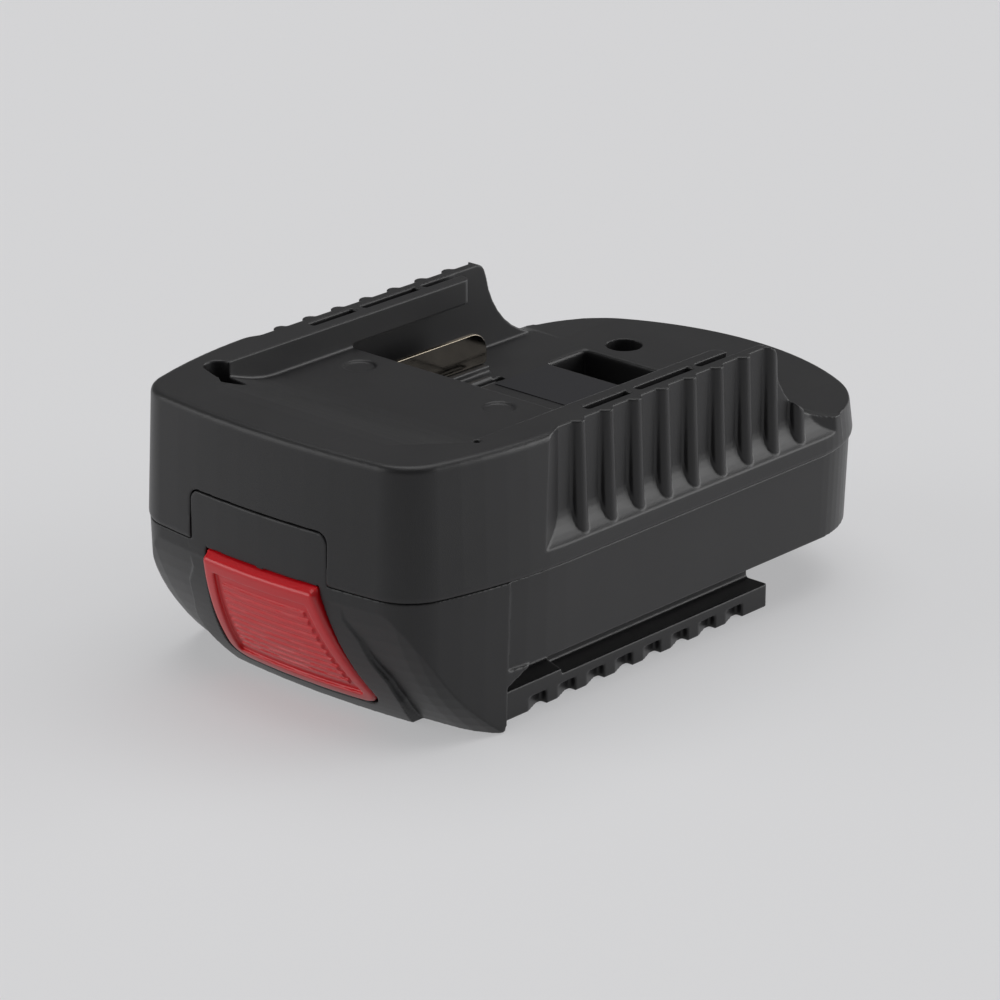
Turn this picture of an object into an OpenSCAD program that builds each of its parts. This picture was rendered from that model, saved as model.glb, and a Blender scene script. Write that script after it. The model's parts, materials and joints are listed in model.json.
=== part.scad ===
/* [Body] */
// Width across the skirt where the two shells meet
body_w = 77; // [74:0.5:88]
// Length from the button's front edge to the rear of the deck
overall_l = 135.4; // [132:0.2:150]
// Height from the feet to the rail tops
overall_h = 52.5; // [51:0.5:58]
// Height of the line where the two shells meet
part_z = 28.2; // [27.6:0.1:29]
// Shell wall thickness
wall = 2.2; // [1.8:0.1:2.5]
// Rounding of the outer top edges
edge_r = 1.2; // [0.8:0.1:1.8]
// How far the upper shell draws in from the skirt to the top
upper_draft = 0.9; // [0.4:0.1:1.2]
// Bow radius of the front face
front_bow_r = 190; // [150:5:260]
// Radius of the front corners
front_corner_r = 10; // [8:0.5:13]
// Bow radius of the sides towards the front
side_bow_r = 100; // [90:5:130]
// Distance from the front face to where the sides run straight
side_bow_l = 37.2; // [34:0.5:40]
// Radius of the rear end
rear_r = 56.5; // [52:0.5:62]
// Radius of the rear corners
rear_corner_r = 22; // [18:0.5:25]

/* [Battery receiver] */
// Clear width between the rail lips
channel_w = 59; // [57:0.5:60]
// Clear width of the grooves under the lips
groove_w = 68; // [67.5:0.25:68.5]
// Thickness of the rail lips
lip_t = 4.85; // [4:0.05:5.4]
// Depth of the receiver floor below the rail tops
floor_drop = 17.2; // [16.5:0.1:18]
// Depth of the contact platform below the rail tops
platform_drop = 5.6; // [5.2:0.1:6.2]
// Distance from the front face to the rear edge of the platform
platform_l = 54.6; // [54:0.2:56]
// Distance from the front face to the top of the ramp
ramp_l0 = 10.5; // [10:0.25:12]
// Distance from the front face to the foot of the ramp
ramp_l1 = 34.5; // [33:0.2:36]
// Distance from the front face to the end of the lips
lip_l = 86.5; // [84:0.5:89]
// Distance from the front face to the rear of the rails
rail_l = 95.2; // [93:0.2:97]
// Radius of the hollow curve that runs from the rails down to the deck
swoop_r = 18; // [17:0.25:19]

/* [Grip] */
// Depth of the grip lands behind the skirt
grip_depth = 2.7; // [2.4:0.1:3]
// Distance from the front face to the first bead
bead_l0 = 42.2; // [41:0.1:43]
// Spacing of the grip beads
bead_pitch = 7.43; // [7:0.01:7.6]
// Number of grip beads on each side
bead_count = 9; // [5:1:9]
// Radius of a grip bead
bead_r = 1.5; // [1.2:0.1:1.8]

/* [Rear deck] */
// How far the deck falls from its creases to its side edges
deck_fall = 0.5; // [0.3:0.1:0.8]
// Sideways distance of the deck's creases from the middle
crease_x = 27.2; // [26:0.2:29]
// Width of the latch pocket for the battery
pocket_w = 39.5; // [36:0.5:41]
// Length of the latch pocket
pocket_l = 11; // [9:0.25:11.5]
// Depth of the latch pocket below the deck
pocket_depth = 8; // [6:0.25:8.5]
// Distance from the latch pocket's front edge to the rear end
pocket_l0 = 37.6; // [36.8:0.2:38.2]
// Diameter of the screw access holes
access_d = 7; // [6.6:0.1:7.6]
// Sideways distance of the access holes from the middle
access_x = 15.9; // [14.5:0.1:17]
// Distance from the access holes to the rear end
access_l = 19.8; // [19.2:0.2:20.6]

/* [Tool rails] */
// Height of the side wall's lower edge above the feet
side_z = 11.5; // [10.5:0.25:12]
// Width across the tongue's side walls
tongue_w = 56; // [55:0.5:57]
// Width across the rail lips
tool_lip_w = 66; // [64:0.5:68]
// Thickness of the rail lips
tool_lip_t = 4.4; // [4:0.1:4.8]
// Distance from the front face to the rear of the chin
chin_l = 23.5; // [23:0.1:24.2]
// Distance from the front face to the rear end of the tongue
tongue_l = 98.6; // [96:0.2:102]
// Height of the tongue's underside above the feet
tongue_z = 3.6; // [3.4:0.1:3.8]
// Spacing of the notches along the rail lips
notch_pitch = 7.67; // [7.2:0.01:7.8]
// Number of notches along each rail lip
notch_count = 8; // [5:1:8]
// Rounding of the rear lower edge
heel_r = 9; // [7:0.5:10]

/* [Release button] */
// Angle of the push direction above level
press_angle = 30; // [28:0.5:32]
// Push travel of the button
press_travel = 4.5; // [4:0.1:4.6]
// Lift of the latch at full push
latch_lift = 3.2; // [3:0.1:3.3]
// Height of the button along its sloping face
button_h = 26.5; // [25.5:0.25:27]
// Width of the button at its upper edge
button_w0 = 26.6; // [26:0.2:28.4]
// Width of the button at its lower edge
button_w1 = 36.8; // [35:0.2:37.4]
// Number of finger grooves in the button
groove_count = 10; // [6:1:11]
// How far the button stands out in front of the front face
button_proud = 1.2; // [1:0.1:1.4]

/* [Fits] */
// Gap round parts that slide
slide_gap = 0.35; // [0.3:0.05:0.45]
// Gap round parts that are seated
seat_gap = 0.05; // [0.03:0.01:0.1]
// Radius of the housing screws
screw_r = 1.5; // [1.3:0.05:1.6]
// Radius of the board and retainer screws
small_screw_r = 1.1; // [0.9:0.05:1.2]

/* [Contacts] */
// Thickness of the power blades
blade_t = 0.9; // [0.7:0.05:1.1]
// Sideways distance of the power blades from the middle
blade_x = 26; // [25.6:0.1:26.4]
// Height of the power blades
blade_h = 6.4; // [5.8:0.1:6.6]
// Length of the power blades behind the platform
blade_l = 31.7; // [28:0.1:32]
// Length of the signal blades behind the platform
signal_l = 8; // [6:0.25:9]
// Sideways distance of the signal contacts from the middle
signal_x = 6; // [5:0.25:7]
// Sideways distance of the tool power contacts from the middle
tool_power_x = 13; // [12:0.25:14]
// Thickness of the tool contacts
clip_t = 0.6; // [0.5:0.05:0.7]
// Radius of the power wires
wire_r = 1.2; // [1:0.1:1.4]
// Thickness of the circuit board
board_t = 1.6; // [1.2:0.2:1.6]

/* [Hidden] */
$fn = 48;

charcoal = "#39383a";
black = "#262628";
red = "#b5121b";
nickel = "#c9c2b4";
steel = "#b8b9bb";
board_green = "#1f5a38";

// Reference planes
half_w = body_w / 2;
y_button = -overall_l / 2;
y_face = y_button + button_proud;
y_rear = overall_l / 2;
floor_z = overall_h - floor_drop;
platform_z = overall_h - platform_drop;
lip_z = overall_h - lip_t;
y_platform = y_face + platform_l;
y_lip_end = y_face + lip_l;
y_rail_end = y_face + rail_l;
y_side_bow = y_face + side_bow_l;
y_chin = y_face + chin_l;
y_tongue_end = y_face + tongue_l;
far = 300;
eps = 0.01;

// Points along an arc
function arc(c, r, a0, a1, n) =
    [for (i = [0:n]) c + r * [cos(a0 + (a1 - a0) * i / n), sin(a0 + (a1 - a0) * i / n)]];

// The point on the right of the line c1 to c2, at r1 from c1 and r2 from c2
function meet(c1, r1, c2, r2) =
    let (d = norm(c2 - c1), a = (r1 * r1 - r2 * r2 + d * d) / (2 * d),
         h = sqrt(r1 * r1 - a * a), t = (c2 - c1) / d)
    c1 + a * t + h * [-t[1], t[0]];

function angle_of(v) = atan2(v[1], v[0]);

// Arc from p to q that bulges by sag to the right of the way from p to q
function sag_arc(p, q, sag, n) =
    let (chord = norm(q - p), r = (chord * chord / 4 + sag * sag) / (2 * sag), t = (q - p) / chord,
         left = [-t[1], t[0]], c = (p + q) / 2 + (r - sag) * left,
         a0 = angle_of(p - c), sweep = 2 * asin(chord / 2 / r))
    arc(c, r, a0, a0 + sweep, n);

// Plan outline of the shells, drawn in by inset from the skirt
bow_c = [0, y_face + front_bow_r];
side_c = [half_w - side_bow_r, y_side_bow];
corner_c = meet(bow_c, front_bow_r - front_corner_r, side_c, side_bow_r - front_corner_r);
rear_c = [0, y_rear - rear_r];
rear_corner_x = half_w - rear_corner_r;
rear_corner_c = [rear_corner_x,
    rear_c[1] + sqrt(pow(rear_r - rear_corner_r, 2) - pow(rear_corner_x, 2))];
corner_a0 = angle_of(corner_c - bow_c);
corner_a1 = angle_of(corner_c - side_c);
rear_a = angle_of(rear_corner_c - rear_c);

function half_outline(inset) = concat(
    arc(bow_c, front_bow_r - inset, -90, corner_a0, 5),
    arc(corner_c, front_corner_r - inset, corner_a0 + 3, corner_a1 - 3, 14),
    arc(side_c, side_bow_r - inset, corner_a1, 0, 6),
    arc(rear_corner_c, rear_corner_r - inset, 0, rear_a, 12),
    arc(rear_c, rear_r - inset, rear_a + 3, 90, 9));

function outline(inset) =
    let (right = half_outline(inset), n = len(right))
    concat(right, [for (i = [n - 2:-1:1]) [-right[i][0], right[i][1]]]);

module plan(inset) polygon(outline(inset));

// A half outline at the right, joined with its mirror image
function with_mirror(half) = concat(half, [for (i = [len(half) - 1:-1:0]) [-half[i][0], half[i][1]]]);

module slab(inset, z0, z1) translate([0, 0, z0]) linear_extrude(z1 - z0) plan(inset);

// Solid through rings of points, from the lowest ring to the highest
module stack(rings) {
    n = len(rings[0]);
    last = n * (len(rings) - 1);
    sides = [for (k = [0:len(rings) - 2]) for (i = [0:n - 1])
        let (a = k * n + i, b = k * n + (i + 1) % n)
        each [[a, a + n, b], [b, a + n, b + n]]];
    bottom = [[for (i = [0:n - 1]) i]];
    top = [[for (i = [n - 1:-1:0]) last + i]];
    polyhedron([for (ring = rings) each ring], concat(sides, bottom, top), convexity = 6);
}

// Solid skin through a stack of outlines, each level given as [z, inset]
module skin(levels) stack([for (l = levels) [for (p = outline(l[1])) [p[0], p[1], l[0]]]]);

// Levels that round the edge at height top, drawn in by draft below the rounding
function rounded_top(top, draft, r) =
    [for (a = [0:30:90]) [top - r * (1 - sin(a)), draft + r * (1 - cos(a))]];

// Levels that round the edge at height base, drawn in by inset above the rounding
function rounded_base(base, inset, r) =
    [for (a = [90:-30:0]) [base + r * (1 - sin(a)), inset + r * (1 - cos(a))]];

// A box given by its lowest and highest corners
module block(p, q) translate(p) cube(q - p);

// Copies its children at both sides
module both_sides() {
    children();
    mirror([1, 0, 0]) children();
}

// Side view polygon of [y, z] points, run across the width
module across(points, width) rotate([90, 0, 90]) translate([0, 0, -width / 2])
    linear_extrude(width) polygon(points);

// Upright cylinder
module post(x, y, z0, z1, r) translate([x, y, z0]) cylinder(h = z1 - z0, r = r);

// Upper shell
deck_edge_r = 0.9;
deck_draft = 0.65;
skirt_r = 0.4;
skirt_z = part_z + 1.1;
rail_end_r = 2.5;
pocket_y = y_rear - pocket_l0;
access_y = y_rear - access_l;
screw_seat_z = 24;
rear_screw_l = 9;
rear_boss_z = screw_seat_z - 2.2;
front_screw_x = 20.8;
front_screw_y = y_chin + 9.2;
front_seat_z = 18;
front_screw_l = 18;
boss_r = 4.7;
land_x = half_w - grip_depth;
ledge_z0 = part_z + 3.1;
ledge_z1 = part_z + 9.8;
bead_lean = 1;
grip_y0 = y_face + bead_l0 - 5.1;
grip_y1 = y_rail_end + 10.4;
grip_run = 2.4;
bar_h = 1.4;
rib_x = blade_x - 4.4;
ramp_corner_r = 7;
ramp_corner_y = y_face + 23.6;
ramp_front_x = 19;
lip_hole_r = 2.7;
lip_hole_depth = 12;
lip_hole_ends = [[-29.4, y_face + 20.1], [-25, y_face + 18.6]];
lip_notch = [30.4, y_face + 22.4];
front_room_l = 12;
room_x = min(groove_w / 2 - 1, half_w - wall - upper_draft);
mark_r = 3;
mark_depth = 0.45;
marks = [[-22, y_face + 48.4], [11.5, y_face + 48.8]];
pad_place = [4, y_face + 7.8];
core_slots = [[47.2, 58.7], [60.7, 75.5], [77, 86.6]];
core_x = [channel_w / 2 + 2.7, groove_w / 2 - 0.1];

module rear_cut() {
    c = [y_rail_end + swoop_r, floor_z - deck_fall + swoop_r];
    top_c = [y_rail_end - rail_end_r, overall_h - rail_end_r];
    across(concat([[far, overall_h + 10], [top_c[0], overall_h + 10]],
        arc(top_c, rail_end_r, 90, 10, 4),
        arc(c, swoop_r, 190, 270, 9),
        [[c[0] + 0.6, skirt_z], [far, skirt_z]]), far);
}

module bead(k) {
    y = y_face + bead_l0 + k * bead_pitch;
    top_x = land_x + 1.2 - bead_r;
    lean = atan2(bead_lean, overall_h - ledge_z0);
    translate([top_x, y, overall_h]) rotate([0, -lean, 0]) translate([0, 0, -(overall_h - ledge_z0)])
        cylinder(h = overall_h - ledge_z0 + 1, r = bead_r, $fn = 32);
}

// Grip recess with sloping ends and a hollow ledge below it
ledge_sag = 0.85;

module grip_cut() {
    out_x = half_w + 5;
    run = grip_run * (out_x - land_x);
    intersection() {
        linear_extrude(overall_h + 5) polygon([[land_x, grip_y0], [out_x, grip_y0 - run],
            [out_x, grip_y1 + run], [land_x, grip_y1]]);
        rotate([90, 0, 0]) translate([0, 0, -far]) linear_extrude(2 * far)
            polygon(concat([[land_x, overall_h + 5]],
                sag_arc([land_x, ledge_z1], [half_w + 0.2, ledge_z0], ledge_sag, 6),
                [[out_x, ledge_z0], [out_x, overall_h + 5]]));
    }
}

// Rear deck, which falls a little from its creases to its sides
module rear_deck() difference() {
    skin(concat([[part_z + 0.5, 0.6], [skirt_z, 0.02]], rounded_top(floor_z, deck_draft, deck_edge_r)));
    block([-far, -far, 0], [far, y_rail_end + 10, far]);
    both_sides() rotate([90, 0, 0]) translate([0, 0, -far]) linear_extrude(2 * far)
        polygon([[crease_x, floor_z], [half_w, floor_z - deck_fall], [half_w + 5, floor_z - deck_fall],
            [half_w + 5, floor_z + 5], [crease_x, floor_z + 5]]);
}

module shell_block() {
    difference() {
        union() {
            difference() {
                skin(concat([[part_z, skirt_r], [part_z + 0.4, skirt_r / 4], [skirt_z, 0]],
                    rounded_top(overall_h, upper_draft, edge_r)));
                rear_cut();
            }
            rear_deck();
        }
        both_sides() grip_cut();
    }
    difference() {
        both_sides() for (k = [0:bead_count - 1]) bead(k);
        rear_cut();
        block([-far, -far, overall_h], [far, far, overall_h + 5]);
    }
}

module channel_cut() {
    top = overall_h + 5;
    lip_round = 2;
    cut_w = groove_w / 2;
    block([-channel_w / 2, y_platform, floor_z], [channel_w / 2, far, top]);
    block([-cut_w, y_platform, floor_z], [cut_w, far, lip_z]);
    block([-cut_w, y_lip_end, floor_z], [cut_w, far, top]);
    both_sides() difference() {
        block([channel_w / 2 - eps, y_lip_end - lip_round, lip_z],
            [channel_w / 2 + lip_round, y_lip_end + eps, top]);
        post(channel_w / 2 + lip_round, y_lip_end - lip_round, lip_z - 1, top + 1, lip_round);
    }
}

module platform_cut() {
    y0 = y_face + ramp_l0;
    y1 = y_face + ramp_l1;
    steps = 8;
    ramp = [for (i = [0:steps]) [y0 + (y1 - y0) * i / steps,
        overall_h - platform_drop * (1 - cos(180 * i / steps)) / 2]];
    top = overall_h + 5;
    x = channel_w / 2;
    corner = arc([x - ramp_corner_r, ramp_corner_y], ramp_corner_r, 0, -48, 5);
    edge = concat([[x, y_platform + 1]], corner, [[ramp_front_x, y0 - 1]]);
    intersection() {
        across(concat(ramp, [[y_platform + 1, platform_z], [y_platform + 1, top], [y0, top]]),
            channel_w + 10);
        linear_extrude(top) polygon(with_mirror(edge));
    }
}

// Slanting hole at the front end of the left lip, and a small notch at the right one
module lip_holes() {
    z = overall_h - lip_hole_depth;
    h = lip_hole_depth + 1;
    d = lip_hole_ends[1] - lip_hole_ends[0];
    for (p = lip_hole_ends) post(p[0], p[1], z, z + h, lip_hole_r);
    translate([lip_hole_ends[0][0], lip_hole_ends[0][1], z]) rotate([0, 0, angle_of(d)])
        translate([0, -lip_hole_r, 0]) cube([norm(d), 2 * lip_hole_r, h]);
    post(lip_notch[0], lip_notch[1], overall_h - 3, overall_h + 1, 0.7);
}

module upper_cavity() {
    slab(wall, part_z - 1, floor_z - wall);
    intersection() {
        slab(wall + upper_draft, part_z - 1, platform_z - wall);
        block([-room_x, -far, 0], [room_x, y_platform - wall, far]);
    }
    intersection() {
        slab(wall + upper_draft, part_z - 1, overall_h - wall);
        block([-far, -far, 0], [far, y_face + front_room_l, far]);
    }
}

tab_w = 33;
tab_x = -1.1;
tab_top = part_z + 9.4;

module tab_shape(grow) {
    r = 2;
    rotate([90, 0, 0]) linear_extrude(2 * wall, center = true) {
        difference() {
            translate([-tab_w / 2 - grow, part_z - 1])
                square([tab_w + 2 * grow, tab_top - part_z + 1 + grow]);
            for (s = [-1, 1]) translate([s * (tab_w / 2 + grow - r), tab_top + grow - r]) difference() {
                translate([s > 0 ? 0 : -r - 1, 0]) square([r + 1, r + 1]);
                circle(r);
            }
        }
    }
}

module tab_place() translate([tab_x, y_face + 0.4, 0]) children();

blade_z = floor_z + bar_h + 0.1;
slot_gap = 0.3;

module upper_housing() color(charcoal) {
    difference() {
        union() {
            difference() {
                shell_block();
                upper_cavity();
            }
            // Tub of the latch pocket
            block([-pocket_w / 2 - 1.6, pocket_y - 1.6, floor_z - pocket_depth - 1.6],
                [pocket_w / 2 + 1.6, pocket_y + pocket_l + 1.6, floor_z - wall / 2]);
            both_sides() {
                // Tubes round the rear screws
                post(access_x, access_y, rear_boss_z, floor_z - wall / 2, access_d / 2 + 1.8);
                // Bosses for the front screws
                post(front_screw_x, front_screw_y, part_z, platform_z - wall / 2, boss_r);
            }
        }
        channel_cut();
        platform_cut();
        lip_holes();
        both_sides() {
            for (s = core_slots)
                block([core_x[0], y_face + s[0], lip_z - 1], [core_x[1], y_face + s[1], overall_h + 1]);
            post(access_x, access_y, screw_seat_z, floor_z + 1, access_d / 2);
            post(access_x, access_y, rear_boss_z - 1, screw_seat_z + 1, screw_r + 0.2);
            post(front_screw_x, front_screw_y, part_z - 1, front_seat_z + front_screw_l + 1.2,
                screw_r + seat_gap);
            // Blade slots in the platform's rear wall
            block([blade_x - blade_t / 2 - slot_gap, y_platform - wall - 1, blade_z - 0.1],
                [blade_x + blade_t / 2 + slot_gap, y_platform + 1, blade_z + blade_h + slot_gap]);
            block([signal_x - blade_t / 2 - slot_gap, y_platform - wall - 1, blade_z - 0.1],
                [signal_x + blade_t / 2 + slot_gap, y_platform + 1, blade_z + blade_h + slot_gap]);
            // Shallow relief beside the label
            block([rib_x - 1.8, y_platform + 2, floor_z - 1], [rib_x - 0.2, y_face + 85.2, floor_z + 1]);
        }
        block([-pocket_w / 2, pocket_y, floor_z - pocket_depth],
            [pocket_w / 2, pocket_y + pocket_l, floor_z + 1]);
        // Ejector marks on the platform
        for (p = marks) post(p[0], p[1], platform_z - mark_depth, platform_z + 1, mark_r);
        tab_place() tab_shape(0.15);
        button_prism(slide_gap, -12, button_room);
    }
    // Ejector pad at the top of the ramp
    post(pad_place[0], pad_place[1], overall_h - wall, overall_h, mark_r);
    // Bars under the power blades, and low ribs beside them
    both_sides() {
        block([blade_x - 1.6, y_platform - eps, floor_z - eps],
            [blade_x + 1.2, y_platform + blade_l - 0.4, floor_z + bar_h]);
        block([rib_x, y_platform - eps, floor_z - eps],
            [rib_x + 0.8, y_platform + blade_l - 3, floor_z + 0.5]);
    }
}

// Push direction frame: x across, y down the face, z into the housing
press_dir = [0, cos(press_angle), sin(press_angle)];
chin_setback = 14.4;
face_sag = 3;
chin_foot = [y_face + chin_setback, 0];
face_top = [y_face, part_z + 0.8];
button_c = [y_face + 4.55, part_z - 12.7];

module press_frame() translate([0, button_c[0], button_c[1]]) rotate([press_angle - 90, 0, 0]) children();

// Everything behind the sloping front face, which is bowed like the front, set in along the push direction
module behind_face(set_in) {
    profile = sag_arc(face_top, chin_foot, face_sag, 16);
    translate([0, bow_c[1], 0] + set_in * press_dir) rotate_extrude($fn = 360)
        polygon(concat([[0, far], [front_bow_r + 8, far], [front_bow_r + 8, part_z + 4],
            [front_bow_r, part_z + 4]], [for (p = profile) [bow_c[1] - p[0], p[1]]], [[0, 0]]));
}

// Front slope below the shells' joint, which follows the bow of the front face
slope_drop = 2.3;
slope_setback = 17.2;
slope_sag = 2.5;
slope_x = half_w + 4;
slope_turn_x = half_w - 9.5;
slope_turn = 0.04;
slope_top = [y_face + 0.3, part_z - slope_drop];
slope_foot = [y_face + slope_setback, 0];

function bow_y(x) = front_bow_r - sqrt(front_bow_r * front_bow_r - x * x);
function slope_y(x) = bow_y(x) + slope_turn * pow(max(abs(x) - slope_turn_x, 0), 2);
function slope_ring(p) = concat([[-slope_x, y_face - 10, p[1]], [slope_x, y_face - 10, p[1]]],
    [for (t = [1:-1 / 16:-1]) [t * slope_x, p[0] + slope_y(t * slope_x), p[1]]]);

// Everything in front of the slope, set in along the push direction
module front_slope(set_in) {
    profile = sag_arc(slope_top, slope_foot, slope_sag, 10);
    line = concat([slope_top + [-1.2, 3]], profile, [slope_foot + [2, -2]]);
    n = len(line);
    translate(set_in * press_dir) stack([for (i = [n - 1:-1:0]) slope_ring(line[i])]);
}

button_up = 12.2;
button_down = button_h - button_up;
button_t = 3.2;
lug_x0 = button_w0 / 2;
lug_x1 = button_w1 / 2;
lug_y0 = -2;
lug_y1 = 5;
lug_t = 1.3;
button_room = button_t + lug_t + press_travel + slide_gap;

// Button outline with rounded lower corners, grown outwards
button_corner_r = 3.4;
side_lean = atan((button_w1 - button_w0) / 2 / button_h);

module button_plan(grow) {
    r = button_corner_r + grow;
    reach = r * tan(45 + side_lean / 2);
    bottom = button_down + grow;
    side = grow / cos(side_lean);
    foot = button_w1 / 2 + side + grow * tan(side_lean);
    corner = arc([foot - reach, bottom - r], r, -side_lean, 90, 6);
    polygon(with_mirror(concat([[button_w0 / 2 + side - grow * tan(side_lean), -button_up - grow]], corner)));
}

module button_prism(grow, n0, n1) press_frame() translate([0, 0, n0])
    linear_extrude(n1 - n0) button_plan(grow);

// Raised panel round the button, as [half width, distance down the face]
panel_edge = [[18.2, -30], [18.2, -7.4], [20.7, -3.6], [21.6, 0.8], [23.4, 5.6], [23.3, 11.5],
    [21.4, 19.6], [21.2, 30]];

module panel_prism() press_frame() translate([0, 0, -20]) linear_extrude(28)
    polygon(with_mirror(panel_edge));

chin_inset = 0.25;
chin_draft = 0.8;
chin_edge_r = 0.8;
heel_lean = 0.3;
heel_lean_h = 2.9;
band_inset = 0.6;
band_draft = 0.6;

// Everything above the rounded lower edge of the rear
module above_heel(set_in) {
    c = [y_rear - heel_r, side_z + heel_r];
    across(concat([[-far, far], [-far, side_z + set_in]], arc(c, heel_r - set_in, 270, 360, 7),
        [[y_rear + 5, c[1]], [y_rear + 5, far]]), far);
}

// Side view of the chin below the side walls, with its sloping rear edges
module chin_zone() across([[-far, -1], [y_chin - heel_lean, -1], [y_chin - heel_lean, 0],
    [y_chin, heel_lean_h],
    [y_chin, side_z - 3], [y_chin + 5.2, side_z], [-far, side_z]], far);

tool_web = wall;
tongue_x = tongue_w / 2;
tool_lip_x = tool_lip_w / 2;
lip_step_y = y_chin + 18;
guide_x = 12;
latch_y0 = y_chin + 1.5;
latch_y1 = latch_y0 + 6.2;
latch_top = 15;
retainer_z = 26;
retainer_x = 12.8;
retainer_y = latch_y0 - 3.2;
board_z = 19;
board_y0 = front_screw_y + boss_r + 5;
board_y1 = y_tongue_end - 20;
board_x = 22;
board_hole_in = 3.2;
board_hole_x = board_x - board_hole_in;
board_hole_ys = [board_y0 + board_hole_in, board_y1 - board_hole_in];
board_screw_l = 7;
retainer_screw_l = 8;
board_boss_r = 2.8;
hook_x = 9;

module lower_outer() {
    difference() {
        union() {
            // Band of the side walls, just inside the chin's walls
            intersection() {
                skin([[side_z, band_inset + band_draft], [part_z, band_inset]]);
                above_heel(0);
                block([-far, y_chin - 1, 0], [far, far, far]);
            }
            // Chin
            intersection() {
                skin(concat(rounded_base(0, chin_inset + chin_draft, chin_edge_r),
                    [[part_z, chin_inset]]));
                union() {
                    block([-far, -far, -1], [far, y_chin, far]);
                    chin_zone();
                }
            }
        }
        difference() {
            slab(-5, -5, side_z);
            chin_zone();
        }
        front_slope(0);
    }
    // Raised panel round the button
    intersection() {
        slab(chin_inset, 0, part_z);
        behind_face(0);
        panel_prism();
    }
    // Tongue side walls and rail lips
    block([-tongue_x, y_chin - 1, 0], [tongue_x, y_tongue_end, side_z + wall]);
    both_sides() {
        linear_extrude(tool_lip_t) polygon([[tongue_x - 1, y_chin - 2.2], [tool_lip_x, y_chin - 2.2],
            [tool_lip_x, y_tongue_end - 0.5], [tool_lip_x - 0.5, y_tongue_end],
            [tongue_x - 1, y_tongue_end]]);
        linear_extrude(tool_lip_t + 1) polygon([[tongue_x - 1, y_chin - 2.2], [tool_lip_x, y_chin - 2.2],
            [tool_lip_x, lip_step_y], [tongue_x - 1, lip_step_y + 2]]);
    }
    tab_place() intersection() {
        tab_shape(0);
        translate([-tab_x, -0.4 - y_face, 0]) slab(chin_inset, 0, tab_top + 1);
    }
}

module lower_cavity() {
    difference() {
        union() {
            // Above the side ledges
            intersection() {
                slab(wall + band_inset, side_z + wall, part_z + 1);
                above_heel(wall);
                behind_face(wall);
            }
            // Chin
            intersection() {
                slab(wall + band_inset, wall, part_z + 1);
                behind_face(wall);
                block([-far, -far, 0], [far, y_chin - wall, far]);
            }
        }
        front_slope(wall);
    }
    // Tongue
    block([-tongue_x + tool_web, y_chin - wall - 1, tongue_z + wall],
        [tongue_x - tool_web, y_tongue_end - wall, part_z]);
    // Underside between the rails
    block([-tongue_x + tool_web, y_chin, -1], [tongue_x - tool_web, y_tongue_end + 1, tongue_z]);
}

clip_y = board_y1 - 2.4;
clip_gap = 1.3;
contact_xs = [-tool_power_x, -signal_x, signal_x, tool_power_x];

module contact_slots() for (x = contact_xs)
    block([x - clip_gap / 2 - 0.5, clip_y + 4, tongue_z - 1],
        [x + clip_gap / 2 + 0.5, y_tongue_end + 1, side_z - 0.5]);

notch_y0 = y_chin + 14.1;
notch_l = 4.8;
notch_flat = 1.1;
notch_depth = 1.5;
notch_h = 2.6;

module notches() both_sides() for (k = [0:notch_count - 1]) {
    y = notch_y0 + k * notch_pitch;
    deep_x = tool_lip_x - notch_depth;
    translate([0, 0, -1]) linear_extrude(1 + notch_h)
        polygon([[tool_lip_x, y - notch_l], [deep_x, y - notch_flat], [deep_x, y],
            [tool_lip_x + 1, y], [tool_lip_x + 1, y - notch_l]]);
}

module lower_housing() color(charcoal) {
    difference() {
        union() {
            difference() {
                lower_outer();
                lower_cavity();
            }
            both_sides() {
                // Bosses under the rear screws, the front screws, the retainer and the board
                post(access_x, access_y, side_z + 0.5, rear_boss_z, boss_r - 0.7);
                post(front_screw_x, front_screw_y, tongue_z, part_z, boss_r);
                post(retainer_x, retainer_y, 1, retainer_z, 2.6);
                for (y = board_hole_ys) post(board_hole_x, y, tongue_z + 0.5, board_z, board_boss_r);
                // Guides beside the latch
                block([guide_x + slide_gap, latch_y0 - 0.5, tongue_z + 0.5],
                    [guide_x + slide_gap + 2, latch_y1 + slide_gap + 2, latch_top + 1]);
            }
            block([-guide_x - slide_gap - 2, latch_y1 + slide_gap, tongue_z + 0.5],
                [guide_x + slide_gap + 2, latch_y1 + slide_gap + 2, latch_top - 2]);
        }
        both_sides() {
            post(access_x, access_y, side_z + wall, rear_boss_z + 1, screw_r + seat_gap);
            post(front_screw_x, front_screw_y, tongue_z - 1, front_seat_z, access_d / 2 - 0.2);
            post(front_screw_x, front_screw_y, front_seat_z - 1, part_z + 1, screw_r + 0.2);
            post(retainer_x, retainer_y, retainer_z - retainer_screw_l, retainer_z + 1,
                small_screw_r + seat_gap);
            for (y = board_hole_ys)
                post(board_hole_x, y, board_z - board_screw_l, board_z + 1, small_screw_r + seat_gap);
        }
        button_prism(slide_gap, -12, button_room);
        // Room for the button's lugs behind the panel
        press_frame() block([-lug_x1 - slide_gap, lug_y0 - slide_gap, button_t - slide_gap],
            [lug_x1 + slide_gap, lug_y1 + slide_gap, button_room]);
        // Window for the latch hook
        block([-hook_x - slide_gap, latch_y0 - slide_gap, tongue_z - 1],
            [hook_x + slide_gap, latch_y1 + slide_gap, tongue_z + wall + 1]);
        contact_slots();
        notches();
    }
}

// Battery side contacts
block_y1 = y_platform - wall;
block_l = 15;
block_y0 = block_y1 - block_l;
block_top = platform_z - wall;
block_z = blade_z - 3;
block_x = room_x - 0.4;
tail_y0 = block_y0 + 3;
tail_w = 4;

module contact_slot(x) block([x - blade_t / 2 - seat_gap, tail_y0, blade_z - seat_gap],
    [x + blade_t / 2 + seat_gap, block_y1 + 1, blade_z + blade_h + seat_gap]);

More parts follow.
